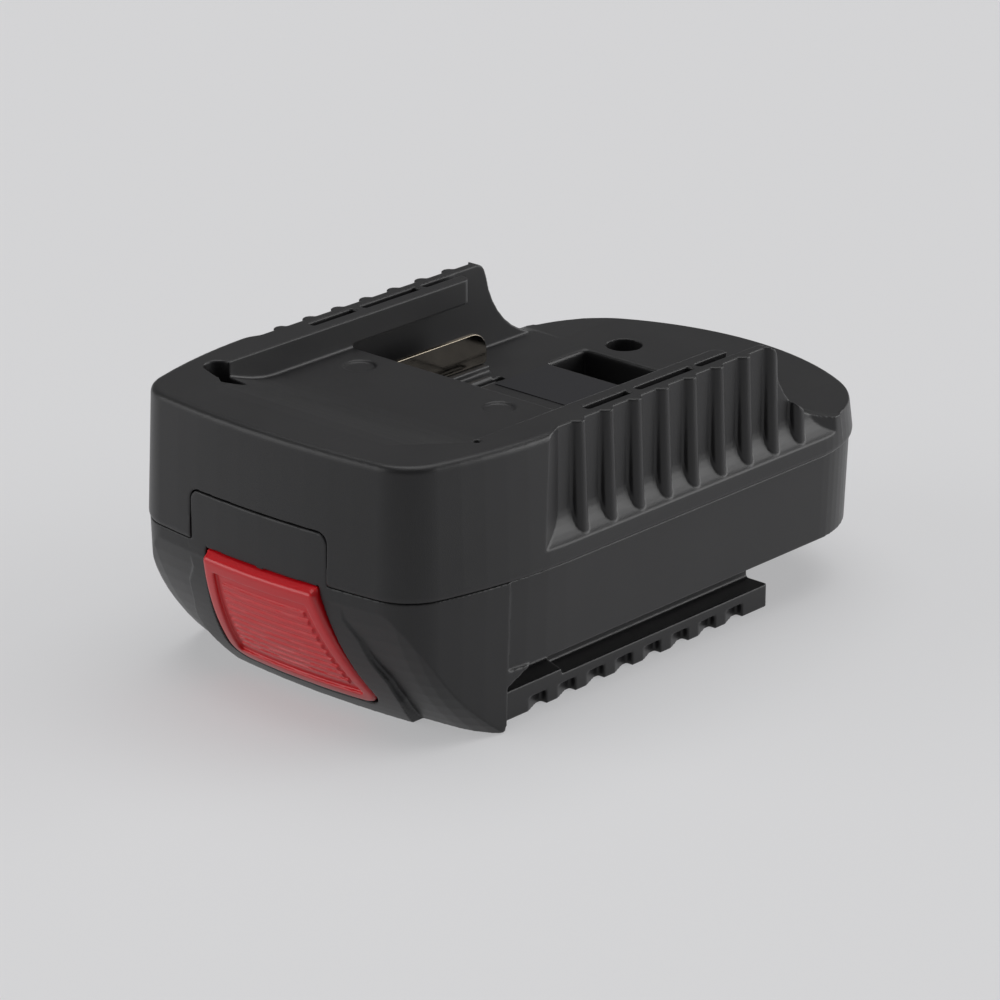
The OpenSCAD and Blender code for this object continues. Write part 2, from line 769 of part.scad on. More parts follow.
module tail_slot(x) block([x - blade_t / 2 - seat_gap, tail_y0, block_z - 1],
    [x + blade_t / 2 + seat_gap, tail_y0 + tail_w + 2 * seat_gap, blade_z + 1]);

module terminal_block() color(black) difference() {
    block([-block_x, block_y0, block_z], [block_x, block_y1, block_top]);
    for (x = [-blade_x, -signal_x, signal_x, blade_x]) {
        contact_slot(x);
        tail_slot(x);
    }
    both_sides() post(front_screw_x, front_screw_y, 0, far, boss_r + 0.4);
}

// Flat blade with a rounded rear end and a tail that goes down
blade_end_r = 4;

module blade(x, l, tail_z) {
    r = blade_end_r;
    y0 = tail_y0 + seat_gap;
    y1 = y_platform + l;
    z1 = blade_z + blade_h;
    translate([x, 0, 0]) {
        across(concat([[y0, blade_z], [y1 - 0.6, blade_z], [y1, blade_z + 0.6]],
            arc([y1 - r, z1 - r], r, 0, 90, 8), [[y0, z1]]), blade_t);
        across([[y0, tail_z], [y0 + tail_w, tail_z], [y0 + tail_w, blade_z + 1], [y0, blade_z + 1]],
            blade_t);
    }
}

tail_l = 6.6;
tail_z = block_z - tail_l;
board_top = board_z + board_t;

module plus_blade() color(nickel) blade(-blade_x, blade_l, tail_z);
module minus_blade() color(nickel) blade(blade_x, blade_l, tail_z);
module thermistor_blade() color(nickel) blade(-signal_x, signal_l, board_top);
module data_blade() color(nickel) blade(signal_x, signal_l, board_top);

// Tool side contacts
carrier_x = board_hole_x - board_boss_r - 0.4;
module tool_contact_carrier() color(black)
    block([-carrier_x, clip_y - 4, tongue_z + wall], [carrier_x, clip_y, side_z + 1]);

module clip(x, strap_z) translate([x, 0, 0]) {
    z0 = tongue_z + wall + 0.2;
    block([-clip_gap / 2 - clip_t, clip_y, z0], [clip_gap / 2 + clip_t, clip_y + clip_t, strap_z]);
    for (s = [-1, 1]) translate([s * (clip_gap / 2 + clip_t / 2), 0, 0])
        across([[clip_y, z0], [y_tongue_end - wall - 1.6, z0], [y_tongue_end - wall - 0.6, z0 + 1.2],
            [y_tongue_end - wall - 0.6, side_z - 1.8], [y_tongue_end - wall - 1.6, side_z - 0.8],
            [clip_y, side_z - 0.8]], clip_t);
}

power_strap_z = board_z - 2;
module tool_contact_plus() color(nickel) clip(-tool_power_x, power_strap_z);
module tool_contact_minus() color(nickel) clip(tool_power_x, power_strap_z);
module tool_contact_thermistor() color(nickel) clip(-signal_x, board_z);
module tool_contact_data() color(nickel) clip(signal_x, board_z);

// Circuit board and what is on it
module circuit_board() color(board_green) difference() {
    block([-board_x, board_y0, board_z], [board_x, board_y1, board_top]);
    both_sides() for (y = board_hole_ys)
        post(board_hole_x, y, board_z - 1, board_top + 1, small_screw_r + 0.15);
}

board_mid = (board_y0 + board_y1) / 2;
module board_fuse() color("#d8d2c0")
    block([-12, board_mid - 1.5, board_top], [-5.5, board_mid + 1.5, board_top + 2]);
module board_chip() color(black)
    block([2, board_mid - 2.6, board_top], [8.2, board_mid + 2.6, board_top + 1.6]);
module board_capacitor() color("#2b3550")
    post(13.5, board_mid, board_top, board_top + 5.4, 2.6);

// Tube swept along points
function direction(path, i) =
    let (a = path[max(i - 1, 0)], b = path[min(i + 1, len(path) - 1)]) (b - a) / norm(b - a);
function ring_points(p, t, r, sides, up) =
    let (u = cross(t, up) / norm(cross(t, up)), v = cross(u, t))
    [for (k = [0:sides - 1]) p + r * (cos(360 * k / sides) * u + sin(360 * k / sides) * v)];

module tube(path, r, sides, up) {
    n = len(path);
    points = [for (i = [0:n - 1]) each ring_points(path[i], direction(path, i), r, sides, up)];
    walls = [for (i = [0:n - 2]) for (k = [0:sides - 1])
        let (a = i * sides + k, b = i * sides + (k + 1) % sides)
        each [[a, b, a + sides], [b, b + sides, a + sides]]];
    polyhedron(points, concat(walls, [[for (k = [sides - 1:-1:0]) k]],
        [[for (k = [0:sides - 1]) (n - 1) * sides + k]]), convexity = 10);
}

// Smooth points through a short list of corners
function blend(p, q, r, t) = (1 - t) * (1 - t) * p + 2 * t * (1 - t) * q + t * t * r;
function smooth(pts) = concat([pts[0]],
    [for (i = [1:len(pts) - 2]) each [for (t = [0:0.25:1])
        blend((pts[i - 1] + pts[i]) / 2, pts[i], (pts[i] + pts[i + 1]) / 2, t)]],
    [pts[len(pts) - 1]]);

// Power wire from a blade's tail, past the board, to a tool contact's strap
wire_x = board_x + wire_r + 0.4;
wire_tail_x = blade_x - blade_t / 2 - wire_r - seat_gap;
wire_y0 = tail_y0 + tail_w / 2;
wire_z0 = block_z - 1.6;
wire_z1 = board_z + 5;
wire_z2 = board_z - 4;
wire_route = [[wire_tail_x, wire_y0, wire_z0], [wire_tail_x, wire_y0, (wire_z0 + wire_z1) / 2],
    [wire_x, wire_y0 + 2, wire_z1], [wire_x, board_mid, wire_z1 - 1], [wire_x, board_y1, wire_z1 - 2],
    [wire_x - 1, board_y1 + 3, board_z], [tool_power_x, board_y1 + 4, wire_z2],
    [tool_power_x, clip_y + clip_t + seat_gap, wire_z2]];
module power_wire() tube(smooth(wire_route), wire_r, 10, [0.2, 0.3, 1]);

module plus_wire() color(red) mirror([1, 0, 0]) power_wire();
module minus_wire() color(black) power_wire();

// Button: curved face, recessed panel with finger grooves, lugs and two push arms
arm_x = [4, 8];
arm_end = latch_y0 - 4.6;
cam_slope = (latch_lift - press_travel * sin(press_angle)) / (press_travel * cos(press_angle));
arm_top = 10.6;

button_face_r = 60;
button_crown_y = 3;
button_bow_r = front_bow_r / cos(press_angle);
button_edge_n = (y_button - button_c[0] + button_up * sin(press_angle)) / cos(press_angle);
button_crown_n = button_edge_n - button_face_r
    + sqrt(pow(button_face_r, 2) - pow(button_up + button_crown_y, 2));

button_rim = 2.6;
recess_depth = 0.75;
ridge_depth = 0.3;
ridge_margin = 4.4;

// Everything behind the button's face, which is curved both ways, set in by depth
module behind_button_face(depth) {
    a = 25;
    curve = arc([button_bow_r - button_face_r, button_crown_y], button_face_r, -a, a, 20);
    press_frame() translate([0, 0, button_crown_n + depth + button_bow_r]) rotate([-90, 0, 0])
        rotate_extrude($fn = 360) polygon(concat([[0, curve[0][1]]], curve, [[0, curve[20][1]]]));
}

module release_button() color(red) {
    difference() {
        intersection() {
            button_prism(0, -6, button_t);
            behind_button_face(0);
        }
        difference() {
            button_prism(-button_rim, -6, button_t);
            behind_button_face(recess_depth);
        }
    }
    // Ridges between the finger grooves
    pitch = (button_h - 2 * ridge_margin) / groove_count;
    intersection() {
        press_frame() for (k = [0:groove_count - 1]) {
            y = -button_up + ridge_margin + (k + 0.5) * pitch;
            w = button_w0 + (button_w1 - button_w0) * (y + button_up) / button_h - 2 * ridge_margin;
            translate([-w / 2, y - pitch * 0.28, -6]) cube([w, pitch * 0.56, 6 + button_t / 2]);
        }
        behind_button_face(ridge_depth);
    }
    // Side lugs that stop the button at the housing wall
    both_sides() press_frame()
        block([lug_x0, lug_y0, button_t - eps], [lug_x1, lug_y1, button_t + lug_t]);
    // Push arms with sloping tops
    both_sides() difference() {
        across([[y_face + 8.5, arm_top - 4], [arm_end, arm_top - 4], [arm_end, arm_top],
            [y_face + 8.5, arm_top + cam_slope * (arm_end - y_face - 8.5)]], 2 * arm_x[1]);
        block([-far, -far, -far], [arm_x[0], far, far]);
        press_frame() translate([-far / 2, -far / 2, -far]) cube([far, far, far + button_t - 0.5]);
    }
}

// Latch: hook through the window, shelf over the push arms, pegs in the springs
shelf_y = arm_end - 5.5;
cam_gap = 0.3;
hook_z = tongue_z - latch_lift + 0.1;
spring_x = 7;
spring_y = (latch_y0 + latch_y1) / 2;
peg_r = 1.5;

module latch_hook() color(black) {
    y0 = latch_y0;
    block([-guide_x, y0, tongue_z + wall + 0.6], [guide_x, latch_y1, latch_top]);
    across([[y0, hook_z], [y0 + 3, hook_z], [latch_y1, tongue_z + 0.4], [latch_y1, tongue_z + wall + 1],
        [y0, tongue_z + wall + 1]], 2 * hook_x);
    shelf_z = arm_top + cam_gap;
    across([[shelf_y, shelf_z + cam_slope * (arm_end - shelf_y)],
        [y0 + eps, shelf_z + cam_slope * (arm_end - y0)],
        [y0 + eps, latch_top], [shelf_y, latch_top]], 2 * (arm_x[1] + 1));
    both_sides() post(spring_x, spring_y, latch_top - eps, latch_top + 2.5, peg_r);
}

// Coil springs between the latch and the retainer
spring_r = 2.3;
spring_wire = 0.3;
spring_turns = 6;
spring_z0 = latch_top + spring_wire + 0.05;
spring_z1 = retainer_z - spring_wire - 0.05;
spring_rise = (spring_z1 - spring_z0) / spring_turns;
coil = [for (i = [0:8 * spring_turns])
    [spring_r * cos(45 * i), spring_r * sin(45 * i), spring_z0 + spring_rise * i / 8]];
coil_gap = min([for (i = [8:8 * spring_turns]) norm(coil[i] - coil[i - 8])]) - 2 * spring_wire;
echo(str("least gap between spring turns ", coil_gap, " mm"));

module latch_spring(x) translate([x, spring_y, 0]) tube(coil, spring_wire, 6, [0, 0, 1]);
module latch_spring_left() color(steel) latch_spring(-spring_x);
module latch_spring_right() color(steel) latch_spring(spring_x);

retainer_t = 2;
module latch_retainer() color(black) difference() {
    union() {
        block([-retainer_x - 2.8, retainer_y - 3, retainer_z],
            [retainer_x + 2.8, latch_y1 + 1, retainer_z + retainer_t]);
        both_sides() post(spring_x, spring_y, retainer_z - 2, retainer_z + eps, peg_r);
    }
    both_sides()
        post(retainer_x, retainer_y, retainer_z - 1, retainer_z + retainer_t + 1, small_screw_r + 0.15);
}

// Screw with a domed head and a cross recess
module screw(x, y, seat, l, r, up) translate([x, y, seat]) rotate([up ? 0 : 180, 0, 0]) {
    head_r = 1.95 * r;
    head_h = 1.3 * r;
    difference() {
        cylinder(h = head_h, r = head_r);
        for (a = [0, 90]) rotate([0, 0, a])
            block([-r, -0.25 * r, head_h - 0.8 * r], [r, 0.25 * r, head_h + r]);
    }
    translate([0, 0, -l]) cylinder(h = l + eps, r = r);
}

module retainer_screws() color(steel) for (s = [-1, 1])
    screw(s * retainer_x, retainer_y, retainer_z + retainer_t, retainer_screw_l, small_screw_r, true);
module board_screws() color(steel) for (s = [-1, 1], y = board_hole_ys)
    screw(s * board_hole_x, y, board_top, board_screw_l, small_screw_r, true);
module rear_housing_screws() color(steel) for (s = [-1, 1])
    screw(s * access_x, access_y, screw_seat_z, rear_screw_l, screw_r, true);
module front_housing_screws() color(steel) for (s = [-1, 1])
    screw(s * front_screw_x, front_screw_y, front_seat_z, front_screw_l, screw_r, false);

label_w = 38;
label_l = 14.4;
label_t = 0.15;
label_gap = 0.8;
module blank_label() color("#1d1d20")
    block([-label_w / 2, pocket_y - label_gap - label_l, floor_z],
        [label_w / 2, pocket_y - label_gap, floor_z + label_t]);

upper_housing();
lower_housing();
terminal_block();
plus_blade();
minus_blade();
thermistor_blade();
data_blade();
tool_contact_carrier();
tool_contact_plus();
tool_contact_minus();
tool_contact_thermistor();
tool_contact_data();
circuit_board();
board_fuse();
board_chip();
board_capacitor();
plus_wire();
minus_wire();
release_button();
latch_hook();
latch_spring_left();
latch_spring_right();
latch_retainer();
retainer_screws();
board_screws();
rear_housing_screws();
front_housing_screws();
blank_label();
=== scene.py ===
# %% [markdown]
# # Dressing a tool battery adapter
#
# The adapter is two charcoal plastic shells with a red release button, contact blades and a latch inside.
# A frame of plain solids already fixes every size, place and joint. This lesson gives that frame its
# finished surfaces: soft moulded edges, grained plastic, plated metal, wound springs and bent wires.

# %% Load the frame
import json
import math

import bpy
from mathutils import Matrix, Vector


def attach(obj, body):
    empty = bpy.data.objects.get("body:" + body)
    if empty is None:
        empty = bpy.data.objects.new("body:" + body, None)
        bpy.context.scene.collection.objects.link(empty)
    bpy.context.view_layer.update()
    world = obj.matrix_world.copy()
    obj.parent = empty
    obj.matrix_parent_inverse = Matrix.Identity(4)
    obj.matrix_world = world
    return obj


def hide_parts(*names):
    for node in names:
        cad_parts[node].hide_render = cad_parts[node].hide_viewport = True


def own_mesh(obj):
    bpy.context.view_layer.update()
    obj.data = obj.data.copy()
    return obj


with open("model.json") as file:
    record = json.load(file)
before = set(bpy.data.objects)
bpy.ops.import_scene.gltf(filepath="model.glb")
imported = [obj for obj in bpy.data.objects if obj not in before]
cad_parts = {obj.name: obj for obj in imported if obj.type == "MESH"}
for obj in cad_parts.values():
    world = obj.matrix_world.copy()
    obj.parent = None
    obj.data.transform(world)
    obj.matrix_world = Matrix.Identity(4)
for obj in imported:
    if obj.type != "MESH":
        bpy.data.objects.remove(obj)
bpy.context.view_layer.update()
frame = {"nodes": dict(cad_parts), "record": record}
nodes = frame["nodes"]
MM = 0.001

# %% [markdown]
# ## The camera
#
# A product picture is taken from far away with a long lens, so that upright edges stay upright. The camera
# stands to the right of the button and a little above it. Its place, its two angles and its lens were fitted
# to the picture once, so they are written down as plain sizes, and no aiming tool is needed.

# %% Camera
CAMERA_PLACE = Vector((537.46, -597.24, 329.36)) * MM
CAMERA_AZIMUTH = math.radians(42.21)
CAMERA_HEIGHT = math.radians(20.97)
CAMERA_LENS = 170.2
SENSOR_WIDTH = 36

bpy.ops.object.select_all(action="DESELECT")
bpy.ops.object.camera_add(location=CAMERA_PLACE, rotation=(math.pi / 2 - CAMERA_HEIGHT, 0, CAMERA_AZIMUTH))
camera = bpy.context.object
camera.name = "studio_camera"
camera.data.sensor_width = SENSOR_WIDTH
camera.data.lens = CAMERA_LENS
camera.data.clip_start = 0.05
bpy.context.scene.camera = camera
bpy.context.scene.view_settings.view_transform = "Standard"
print("camera at", [round(v, 3) for v in CAMERA_PLACE])

# %% [markdown]
# ## Maths on sockets
#
# A finish is a small web of nodes. Adding every Math node by hand hides the idea, so one class wraps an
# output socket and lets Python's own signs do the sums. Another class makes a material and has a single
# method for every other node: settings come first, then the values or links of the sockets.

# %% Socket class and finish class
class Sock:
    """An output socket that can be added, multiplied and so on."""

    def __init__(self, finish, socket):
        self.finish = finish
        self.socket = socket

    def sum_with(self, operation, first, second):
        return self.finish.node("Math", {"operation": operation}, {0: first, 1: second})

    def __add__(self, other):
        return self.sum_with("ADD", self, other)

    def __radd__(self, other):
        return self.sum_with("ADD", other, self)

    def __sub__(self, other):
        return self.sum_with("SUBTRACT", self, other)

    def __rsub__(self, other):
        return self.sum_with("SUBTRACT", other, self)

    def __mul__(self, other):
        return self.sum_with("MULTIPLY", self, other)

    def __rmul__(self, other):
        return self.sum_with("MULTIPLY", other, self)


class Finish:
    """A material whose nodes are added one by one."""

    def __init__(self, name):
        self.material = bpy.data.materials.new(name)
        self.material.use_nodes = True
        self.tree = self.material.node_tree
        self.tree.nodes.clear()

    def node(self, kind, settings=None, sockets=None, take=0):
        made = self.tree.nodes.new("ShaderNode" + kind)
        for key, value in (settings or {}).items():
            if key == "stops":
                self.set_stops(made.color_ramp, value)
            else:
                setattr(made, key, value)
        for key, value in (sockets or {}).items():
            if isinstance(value, Sock):
                self.tree.links.new(value.socket, made.inputs[key])
            else:
                made.inputs[key].default_value = value
        return Sock(self, made.outputs[take]) if made.outputs else made

    def set_stops(self, ramp, stops):
        while len(ramp.elements) < len(stops):
            ramp.elements.new(0.5)
        for element, (place, grey) in zip(ramp.elements, stops):
            element.position = place
            element.color = (grey, grey, grey, 1)

    def place(self):
        """Place on the piece in metres."""
        return self.node("TexCoord", take="Object")

    def stretched(self, scale):
        return self.node("Mapping", None, {"Vector": self.place(), "Scale": scale})

    def noise(self, per_metre, detail=2.0, vector=None, roughness=0.5):
        return self.node("TexNoise", None, {"Vector": vector or self.place(), "Scale": per_metre,
                                            "Detail": detail, "Roughness": roughness})

    def ramp(self, value, *stops):
        return self.node("ValToRGB", {"stops": stops}, {"Fac": value})

    def mix(self, factor, first, second):
        return self.node("Mix", {"data_type": "RGBA"}, {"Factor": factor, 6: first, 7: second}, take=2)

    def bump(self, height, strength, distance):
        return self.node("Bump", None, {"Height": height, "Strength": strength, "Distance": distance})

    def surface(self, **sockets):
        shader = self.node("BsdfPrincipled", None, {k.replace("_", " "): v for k, v in sockets.items()})
        self.node("OutputMaterial", None, {"Surface": shader})
        return self.material


def grey(value):
    return (value, value, value, 1)


print("socket and finish classes ready")

# %% [markdown]
# ## Grained charcoal plastic
#
# The shells are moulded in a tool whose walls are etched, so the skin has a fine, even grain, about a fifth
# of a millimetre wide. The grain scatters light and keeps the plastic matt. Handling polishes it a little in
# patches, so a slow noise also moves the roughness, and a few faint fine lines stand for rubbing.

# %% Plastic finishes
def grained_plastic(name, dark, light, rough, grain):
    f = Finish(name)
    skin = f.noise(5200, 3.0)
    patches = f.noise(55, 4.0)
    rubbed = f.noise(900, 2.0, f.stretched((1.0, 0.12, 1.0)))
    lines = f.ramp(rubbed, (0.62, 0.0), (0.72, 1.0))
    tone = f.mix(f.ramp(patches, (0.35, 0.0), (0.7, 1.0)), dark, light)
    rougher = rough + 0.09 * (patches - 0.5) + 0.05 * (skin - 0.5) - 0.03 * lines
    normal = f.bump(skin, grain, 0.00006)
    return f.surface(Base_Color=tone, Roughness=rougher, Normal=normal, Specular_IOR_Level=0.42)


finishes = {
    "shell": grained_plastic("grained_charcoal", (0.018, 0.0177, 0.0187, 1), (0.022, 0.0217, 0.0227, 1),
                             0.37, 0.4),
    "inner_plastic": grained_plastic("matt_black", grey(0.014), grey(0.02), 0.56, 0.25),
}
print("plastics:", list(finishes))

# %% [markdown]
# ## Red button plastic
#
# The button is a softer looking satin red, smoother than the shells, because fingers slide on it. Its grain
# is finer and shallower. The red is kept deep: the pale look of the face comes from the light on it.

# %% Button finish
def satin_red():
    f = Finish("satin_red")
    skin = f.noise(6500, 2.0)
    patches = f.noise(90, 3.0)
    tone = f.mix(patches, (0.75, 0.004, 0.011, 1), (0.81, 0.005, 0.014, 1))
    rougher = 0.30 + 0.08 * (patches - 0.5)
    normal = f.bump(skin, 0.2, 0.00004)
    return f.surface(Base_Color=tone, Roughness=rougher, Normal=normal, Specular_IOR_Level=0.7)


finishes["button_red"] = satin_red()
print("button finish ready")

# %% [markdown]
# ## Plated metal
#
# Contact blades are stamped from strip and plated with nickel. The rolling leaves fine lines along the strip,
# and each sliding battery adds scratches in the same direction. A noise that is stretched along the blade
# gives both. The broad faces, which point to the left or right, are painted much darker as painted shade, a
# dark reflection put into their colour, while the cut edges keep the plain nickel tone: the sideways part of
# the surface's normal tells one from the other. Screws and springs are zinc plated and only a little cloudy.

# %% Metal finishes
def nickel_plate():
    f = Finish("nickel_plate")
    rolled = f.noise(5200, 3.0, f.stretched((1.0, 0.015, 1.0)))
    cloud = f.noise(260, 4.0)
    scratch = f.noise(4200, 4.0, f.stretched((1.0, 0.03, 1.0)), 0.6)
    marks = f.ramp(scratch, (0.60, 0.0), (0.68, 1.0))
    normal = f.node("NewGeometry", take="Normal")
    sideways = f.node("SeparateXYZ", None, {"Vector": normal}, take="X")
    broad = f.ramp(sideways * sideways, (0.55, 0.0), (0.95, 1.0))
    # painted shade: the broad faces that point left or right get this dark colour, which stands for a dark
    # reflection
    painted_shade_tone = f.mix(cloud, (0.05, 0.045, 0.04, 1), (0.12, 0.108, 0.092, 1))
    bright = f.mix(cloud, (0.66, 0.57, 0.44, 1), (0.76, 0.67, 0.53, 1))
    tone = f.mix(broad, bright, painted_shade_tone)
    rough = 0.08 + 0.08 * cloud + 0.14 * marks
    return f.surface(Base_Color=tone, Roughness=rough, Metallic=1.0, Normal=f.bump(rolled, 0.06, 0.00002))


def zinc_plate():
    f = Finish("zinc_plate")
    cloud = f.noise(700, 4.0)
    fine = f.noise(6000, 2.0)
    tone = f.mix(cloud, (0.42, 0.43, 0.45, 1), (0.60, 0.60, 0.61, 1))
    normal = f.bump(fine, 0.1, 0.00003)
    return f.surface(Base_Color=tone, Roughness=0.26 + 0.16 * cloud, Metallic=1.0, Normal=normal)


finishes["nickel"] = nickel_plate()
finishes["steel"] = zinc_plate()
print("metals ready")

# %% [markdown]
# ## Board, fuse, capacitor, wires and label
#
# These small finishes are seen when the shells are opened. The board has green lacquer over copper tracks,
# which show as a slightly lighter pattern. The label place is a bare dark film with a soft shine.

# %% Small finishes
def lacquered_board():
    f = Finish("lacquered_board")
    tracks = f.node("TexBrick", {"offset": 0.37, "squash": 1.0},
                    {"Vector": f.place(), "Scale": 260.0, "Mortar Size": 0.02, "Color1": grey(0.0),
                     "Color2": grey(0.0), "Mortar": grey(1.0)})
    cloud = f.noise(300, 3.0)
    base = f.mix(cloud, (0.010, 0.075, 0.030, 1), (0.014, 0.10, 0.042, 1))
    tone = f.mix(tracks, base, (0.035, 0.17, 0.075, 1))
    return f.surface(Base_Color=tone, Roughness=0.3 + 0.1 * cloud, Normal=f.bump(tracks, 0.3, 0.00003))


def mottled(name, first, second, rough, per_metre, relief):
    f = Finish(name)
    cloud = f.noise(per_metre, 4.0)
    tone = f.mix(cloud, first, second)
    normal = f.bump(cloud, relief, 0.00005)
    return f.surface(Base_Color=tone, Roughness=rough + 0.12 * (cloud - 0.5), Normal=normal)


MOTTLED = {
    "ceramic": ("pale_ceramic", (0.52, 0.48, 0.39, 1), (0.62, 0.58, 0.49, 1), 0.5, 1400, 0.2),
    "sleeve": ("glossy_sleeve", (0.02, 0.03, 0.07, 1), (0.035, 0.05, 0.11, 1), 0.22, 600, 0.1),
    "wire_red": ("red_insulation", (0.36, 0.012, 0.014, 1), (0.46, 0.02, 0.02, 1), 0.45, 1800, 0.2),
    "wire_black": ("black_insulation", grey(0.014), grey(0.024), 0.45, 1800, 0.2),
    "label": ("bare_film", (0.012, 0.012, 0.015, 1), (0.018, 0.018, 0.022, 1), 0.34, 2600, 0.15),
}
finishes["board"] = lacquered_board()
for slot, settings in MOTTLED.items():
    finishes[slot] = mottled(*settings)
print("finishes:", sorted(finishes))

# %% [markdown]
# ## Hands for the work
#
# Most operators act on whatever is selected, so small helpers keep that tidy. One selects a single object, one
# adds a modifier and applies it, one takes a merged copy of a solid, and one finishes a piece: its place goes
# into the mesh, it gets its finish and its body, and the solids that it stands for are hidden.

# %% Helpers
slot_of = {row["node"]: row["material_slot"] for row in frame["record"]["subparts"]}
body_of = {node: body for body, names in frame["record"]["behaviour"]["bodies"].items() for node in names}
MERGE = 0.001 * MM


def select_only(*pieces):
    bpy.ops.object.select_all(action="DESELECT")
    for piece in pieces:
        piece.select_set(True)
    bpy.context.view_layer.objects.active = pieces[0]


def apply_modifier(piece, kind, **settings):
    select_only(piece)
    modifier = piece.modifiers.new(kind.lower(), kind)
    for key, value in settings.items():
        setattr(modifier, key, value)
    bpy.ops.object.modifier_apply(modifier=modifier.name)


def on_mesh(piece, *steps):
    """Runs edit-mode steps on everything in the mesh."""
    select_only(piece)
    bpy.ops.object.mode_set(mode="EDIT")
    bpy.ops.mesh.select_all(action="SELECT")
    for step in steps:
        step()
    bpy.ops.object.mode_set(mode="OBJECT")


def outward():
    bpy.ops.mesh.normals_make_consistent(inside=False)


def merged_copy(node):
    piece = nodes[node].copy()
    piece.data = nodes[node].data.copy()
    piece.parent = None
    bpy.context.collection.objects.link(piece)
    on_mesh(piece, lambda: bpy.ops.mesh.remove_doubles(threshold=MERGE))
    return piece


def finish_piece(piece, name, *stands_for):
    select_only(piece)
    bpy.ops.object.transform_apply(location=True, rotation=True, scale=True)
    piece.name = name
    piece.data.name = name
    slot = slot_of[stands_for[0]]
    piece.data.materials.clear()
    piece.data.materials.append(finishes[slot])
    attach(piece, body_of[stands_for[0]])
    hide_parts(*stands_for)
    print(name, "has", len(piece.data.polygons), "faces and stands for", *stands_for)


print("helpers ready for", len(body_of), "solids")

# %% [markdown]
# ## The two shells
#
# A moulded shell has no knife edges: the tool maker rounds every corner a little, and the eye reads those
# thin bright lines as plastic. A bevel on a shape with so many cuts tangles at the small corners. So the
# solid is copied, its loose triangles are merged, and a voxel remesh wraps it in an even skin that a light
# smoothing rounds off, hollow inside as before. Decimation then drops the faces that flat places don't need.
#
# Some edges are much rounder than the rest, such as the rim of the pocket that takes the battery's latch. A
# vertex group that fades away from such an edge lets a longer smoothing roll over just that edge.

# %% Shells
SHELL_VOXEL = 0.24 * MM
SHELL_FACES = 190000
SHELL_PASSES = 2
POCKET_HALF, POCKET_FRONT, POCKET_REAR, DECK = 19.75 * MM, 30.6 * MM, 41.1 * MM, 35.3 * MM
RIM_BAND, RIM_REACH, RIM_PASSES = 2.0 * MM, 1.25, 60


def turned(piece, angle):
    select_only(piece)
    piece.rotation_euler.x = angle
    bpy.ops.object.transform_apply(location=True, rotation=True, scale=True)


def soften(piece, weight_at, passes):
    """Rolls over the edge where weight_at gives more than nothing."""
    group = piece.vertex_groups.new(name="soft_edge")
    for vertex in piece.data.vertices:
        weight = weight_at(vertex.co)
        if weight > 0:
            group.add([vertex.index], weight, "REPLACE")
    apply_modifier(piece, "SMOOTH", factor=0.5, iterations=passes, vertex_group="soft_edge")
    piece.vertex_groups.clear()


def soft_copy(node, voxel, most_faces, passes, angle=0.0, weight_at=None, edge_passes=0):
    piece = merged_copy(node)
    turned(piece, -angle)
    apply_modifier(piece, "REMESH", mode="VOXEL", voxel_size=voxel)
    apply_modifier(piece, "SMOOTH", factor=0.5, iterations=passes)
    turned(piece, angle)
    if weight_at:
        soften(piece, weight_at, edge_passes)
    apply_modifier(piece, "DECIMATE", ratio=min(1.0, most_faces / (2 * len(piece.data.polygons))))
    select_only(piece)
    bpy.ops.object.shade_smooth()
    return piece


def rim_weight(place):
    """One at the side rims and the rear rim of the latch pocket, nothing further off than the band."""
    if place.y < POCKET_FRONT or abs(place.z - DECK) > RIM_BAND:
        return 0.0
    side, rear = abs(place.x) - POCKET_HALF, place.y - POCKET_REAR
    outside = math.hypot(max(side, 0.0), max(rear, 0.0))
    inside = min(max(side, rear), 0.0)
    return max(0.0, min(1.0, RIM_REACH - math.hypot(outside + inside, place.z - DECK) / RIM_BAND))


upper = soft_copy("upper_housing", SHELL_VOXEL, SHELL_FACES, SHELL_PASSES, 0.0, rim_weight, RIM_PASSES)
finish_piece(upper, "upper_shell", "upper_housing")
finish_piece(soft_copy("lower_housing", SHELL_VOXEL, SHELL_FACES, SHELL_PASSES), "lower_shell", "lower_housing")

# %% [markdown]
# ## The release button
#
# The button is moulded in red and polished where the thumb slides over its outer edges, so these are much
# rounder than the small ridges in the middle. It is turned level before the fine remesh, so that the ridges
# lie along the voxels and come out straight, and then turned back. The outline is measured in the slanting
# frame of the push, and the longer smoothing acts on the outline alone, without touching the ridges.

# %% Button
BUTTON_VOXEL = 0.11 * MM
BUTTON_FACES = 190000
BUTTON_PASSES = 16
PUSH_ANGLE = math.radians(30)
BUTTON_MIDDLE = Vector((0, -61.95, 15.5)) * MM
PUSH = Vector((0, math.cos(PUSH_ANGLE), math.sin(PUSH_ANGLE)))
DOWN = Vector((0, math.sin(PUSH_ANGLE), -math.cos(PUSH_ANGLE)))
BUTTON_TOP, BUTTON_BOTTOM = -12.2 * MM, 14.3 * MM
BUTTON_HALF_TOP, BUTTON_HALF_BOTTOM = 13.3 * MM, 18.4 * MM
EDGE_BAND, EDGE_REACH, EDGE_PASSES = 2.2 * MM, 1.3, 350
PLATE = 2.6 * MM


def edge_weight(place):
    """One at the outline of the button's plate, nothing further in than the band."""
    off = place - BUTTON_MIDDLE
    down, depth = off.dot(DOWN), off.dot(PUSH)
    share = (down - BUTTON_TOP) / (BUTTON_BOTTOM - BUTTON_TOP)
    half = BUTTON_HALF_TOP + share * (BUTTON_HALF_BOTTOM - BUTTON_HALF_TOP)
    inside = min(half - abs(off.x), down - BUTTON_TOP, BUTTON_BOTTOM - down)
    return max(0.0, min(1.0, EDGE_REACH - inside / EDGE_BAND)) if depth < PLATE else 0.0


button = soft_copy("release_button", BUTTON_VOXEL, BUTTON_FACES, BUTTON_PASSES,
                   PUSH_ANGLE, edge_weight, EDGE_PASSES)
finish_piece(button, "red_button", "release_button")

